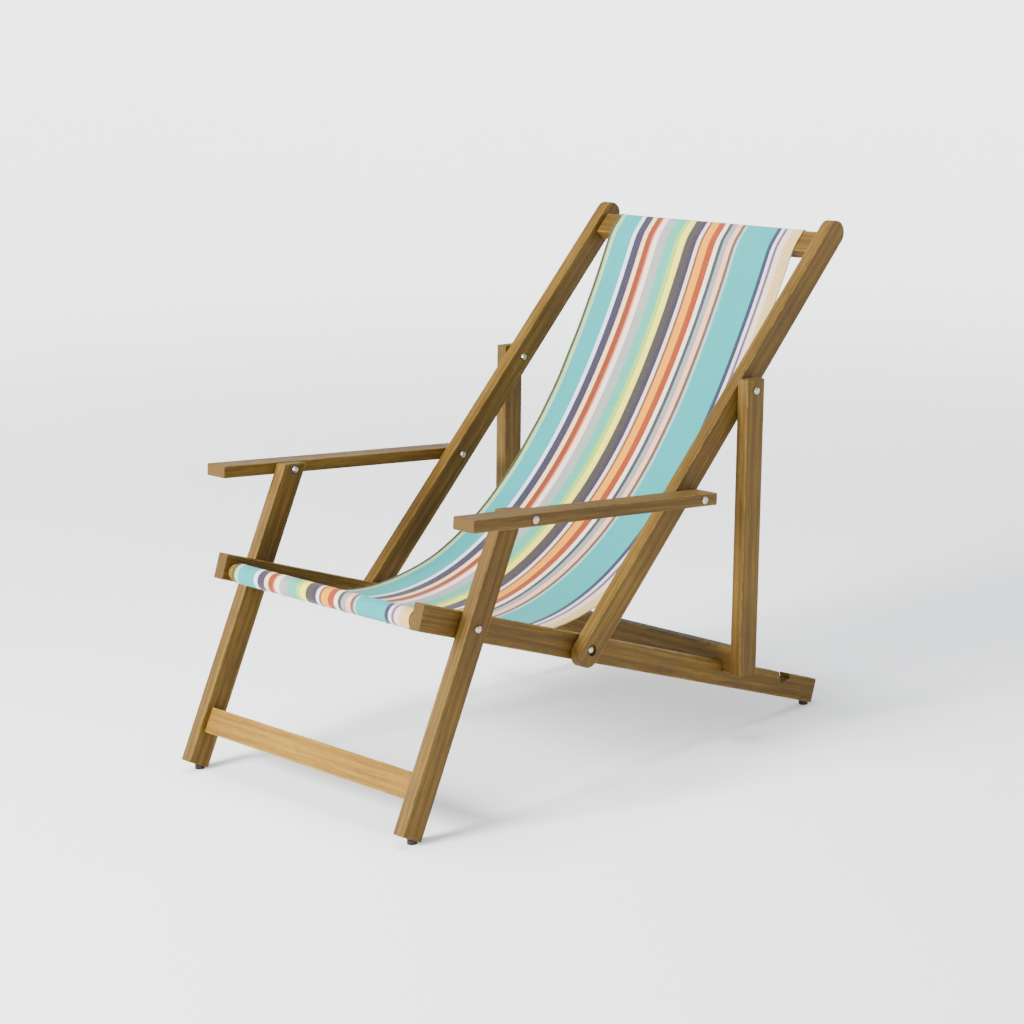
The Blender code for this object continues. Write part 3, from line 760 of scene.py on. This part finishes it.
def sweep_profile():
    """Radii and heights of a flat floor that curves up into a wall all round."""
    profile = [(FLAT_FLOOR / 3, 0.0), (FLAT_FLOOR * 2 / 3, 0.0)]
    for step in range(10):
        angle = math.radians(step * 10)
        radius = FLAT_FLOOR + SWEEP_RADIUS * math.sin(angle)
        profile.append((radius, SWEEP_RADIUS - SWEEP_RADIUS * math.cos(angle)))
    return profile + [(FLAT_FLOOR + SWEEP_RADIUS, WALL_TOP)]


def make_floor():
    """A pale round floor sweeping up into a backdrop far from the chair; its painted glow is faint by the
    chair and fades upwards.
    """
    s = Shading("studio_paper")
    at = s.node("ShaderNodeTexCoord").outputs["Object"]
    mottle = s.noise(at, 1.2, 2.0)
    tone = s.blend(s.smooth(mottle, 0.2, 0.8), (0.87, 0.88, 0.90, 1.0), (0.90, 0.91, 0.93, 1.0))
    s.feed(s.shader.inputs["Base Color"], tone)
    s.shader.inputs["Roughness"].default_value = 0.85
    s.shader.inputs["Specular IOR Level"].default_value = 0.15
    # The paper glows as painted light: faintly on the floor by the chair, strongly further out, fading
    # away up the wall.
    s.shader.inputs["Emission Color"].default_value = (0.97, 0.98, 1.0, 1.0)
    away = s.node("ShaderNodeVectorMath", {"operation": "LENGTH"})
    s.feed(away.inputs[0], at)
    height = s.node("ShaderNodeSeparateXYZ", Vector=at).outputs[2]
    fade = s.smooth(height, 1.0, 4.4, 1.0, 0.08)
    glow = s.math("MULTIPLY", fade, s.smooth(away.outputs["Value"], 1.1, 6.0, 0.20, 2.35))
    s.feed(s.shader.inputs["Emission Strength"], glow)
    shape = bmesh.new()
    rings = []
    for radius, height in sweep_profile():
        angles = [math.tau * i / AROUND for i in range(AROUND)]
        spots = [(radius * math.cos(a), radius * math.sin(a), height) for a in angles]
        rings.append([shape.verts.new(spot) for spot in spots])
    shape.faces.new(rings[0])
    for inner, outer in zip(rings, rings[1:]):
        for i in range(AROUND):
            j = (i + 1) % AROUND
            shape.faces.new((inner[i], outer[i], outer[j], inner[j]))
    new_piece("studio_floor", shape, s.material)


def soft_light(name, place, target, size, power, colour):
    lamp = bpy.data.lights.new(name, "AREA")
    lamp.shape = "RECTANGLE"
    lamp.size = size[0]
    lamp.size_y = size[1]
    lamp.energy = power
    lamp.color = colour
    holder = bpy.data.objects.new(name, lamp)
    bpy.context.scene.collection.objects.link(holder)
    holder.location = place
    aim = Vector(target) - Vector(place)
    holder.rotation_euler = aim.to_track_quat("-Z", "Y").to_euler()


def light_studio():
    soft_light("key", (-0.7, -4.3, 2.4), (0.0, 0.0, 0.3), (1.6, 1.6), 760, (1.0, 0.985, 0.955))
    soft_light("top", (-0.3, 0.3, 3.8), (0.0, 0.1, 0.3), (1.3, 1.3), 165, (0.98, 0.99, 1.0))
    soft_light("fill", (3.4, -2.0, 1.6), (0.0, 0.0, 0.4), (2.6, 2.0), 8, (0.97, 0.98, 1.0))
    world = bpy.data.worlds.new("studio_air")
    bpy.context.scene.world = world
    world.use_nodes = True
    air = world.node_tree.nodes["Background"]
    air.inputs["Color"].default_value = (0.88, 0.91, 0.96, 1.0)
    air.inputs["Strength"].default_value = 0.50


def place_camera():
    """A long lens at the sitter's left front, a little above the armrests."""
    azimuth = math.radians(46.17)
    elevation = math.radians(12.73)
    roll = math.radians(-1.11)
    right = Vector((math.cos(azimuth), math.sin(azimuth), 0.0))
    ahead = Vector((-math.sin(azimuth), math.cos(azimuth), 0.0)) * math.cos(elevation)
    ahead.z = -math.sin(elevation)
    up = right.cross(ahead)
    side = right * math.cos(roll) + up * math.sin(roll)
    top = up * math.cos(roll) - right * math.sin(roll)
    lens = bpy.data.cameras.new("camera")
    lens.lens = 89.65
    lens.sensor_width = 36.0
    camera = bpy.data.objects.new("camera", lens)
    bpy.context.scene.collection.objects.link(camera)
    turn = Matrix((side, top, -ahead)).transposed().to_4x4()
    camera.matrix_world = Matrix.Translation((2.960, -2.8567, 1.314)) @ turn
    bpy.context.scene.camera = camera


finish_frame()
hang_canvas()
make_floor()
light_studio()
place_camera()

bpy.context.view_layer.update()
